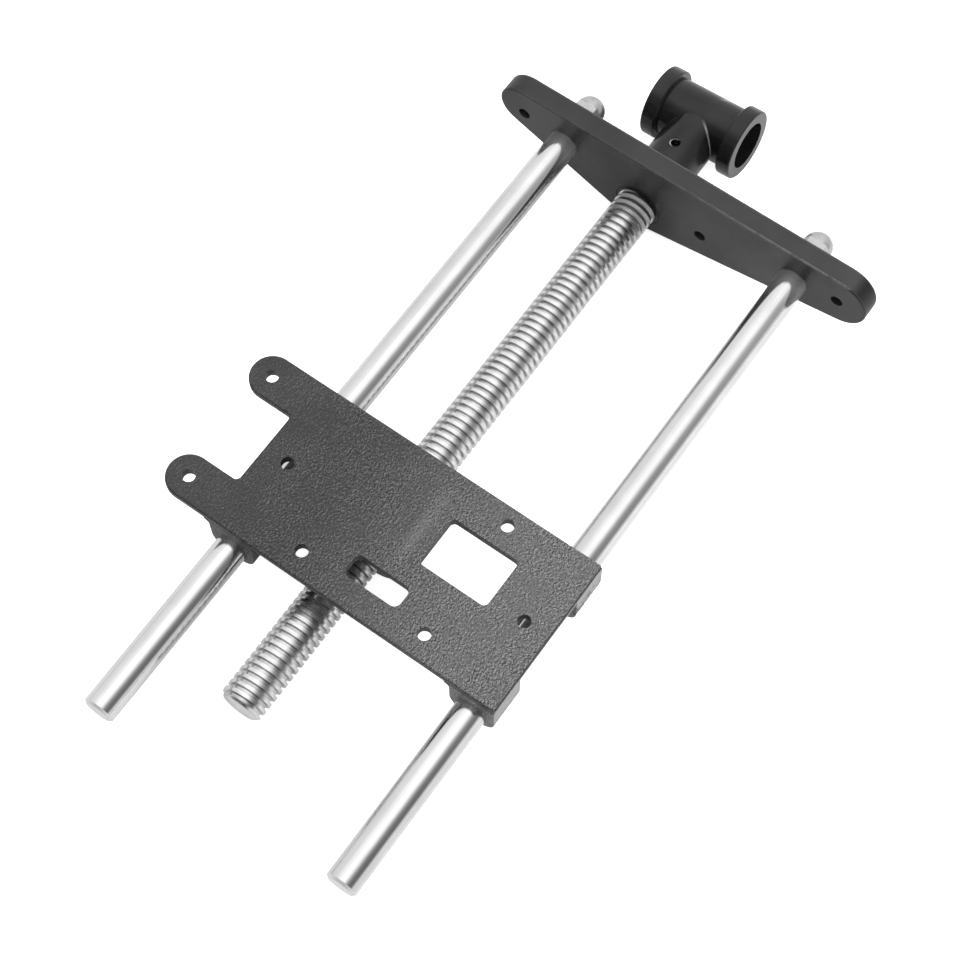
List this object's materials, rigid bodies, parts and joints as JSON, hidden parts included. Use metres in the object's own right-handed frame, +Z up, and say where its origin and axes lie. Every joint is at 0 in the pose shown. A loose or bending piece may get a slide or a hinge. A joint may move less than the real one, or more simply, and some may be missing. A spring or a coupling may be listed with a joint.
{
  "type": "woodworking vise",
  "caption": "Woodworking front vise: a screw with a tee head and steel guide rods move a jaw plate against a plate fixed under a bench.",
  "frame": {"origin": "centre of the rear plate's top face, which is screwed up under the bench; the ears aren't counted in the centre", "axes": "+Z up, square to the bench face; +Y along the guide rods, from the rear plate to the front plate; +X along the jaw, away from the ears"},
  "size_m": [0.2171, 0.443, 0.0574],
  "materials": {
    "cast_black": "pebbled dark enamel on a casting",
    "plate_black": "smooth satin black enamel",
    "head_black": "glossy black enamel",
    "bright_steel": "ground bright",
    "thread_steel": "rolled thread, lightly oiled",
    "zinc_steel": "bright zinc plate",
    "dark_steel": "black oxide",
    "nut_brass": "turned bronze"
  },
  "bodies": {
    "carrier": {"rear_plate": "cast_black", "lead_nut": "nut_brass", "nut_lock_screw": "dark_steel"},
    "jaw": {"front_plate": "plate_black", "guide_rod_left": "bright_steel", "guide_rod_right": "bright_steel", "rod_washers": "zinc_steel", "rod_cap_nuts": "zinc_steel", "thrust_washer_outer": "dark_steel", "thrust_washer_inner": "dark_steel"},
    "screw": {"lead_screw": "thread_steel", "tee_head": "head_black", "tee_head_pin": "zinc_steel"}
  },
  "joints": [
    {"name": "jaw_slide", "type": "slide", "parent": "carrier", "child": "jaw", "axis": [0, 1, 0], "range_m": [-0.18, 0.088]},
    {"name": "screw_turn", "type": "hinge", "parent": "jaw", "child": "screw", "pos_m": [-0.02175, 0.231, -0.0347], "axis": [0, 1, 0], "range_deg": [-16200, 7920]}
  ],
  "couplings": [
    {"joint": "screw_turn", "follows": "jaw_slide", "rad_per_m": 1570.8}
  ]
}
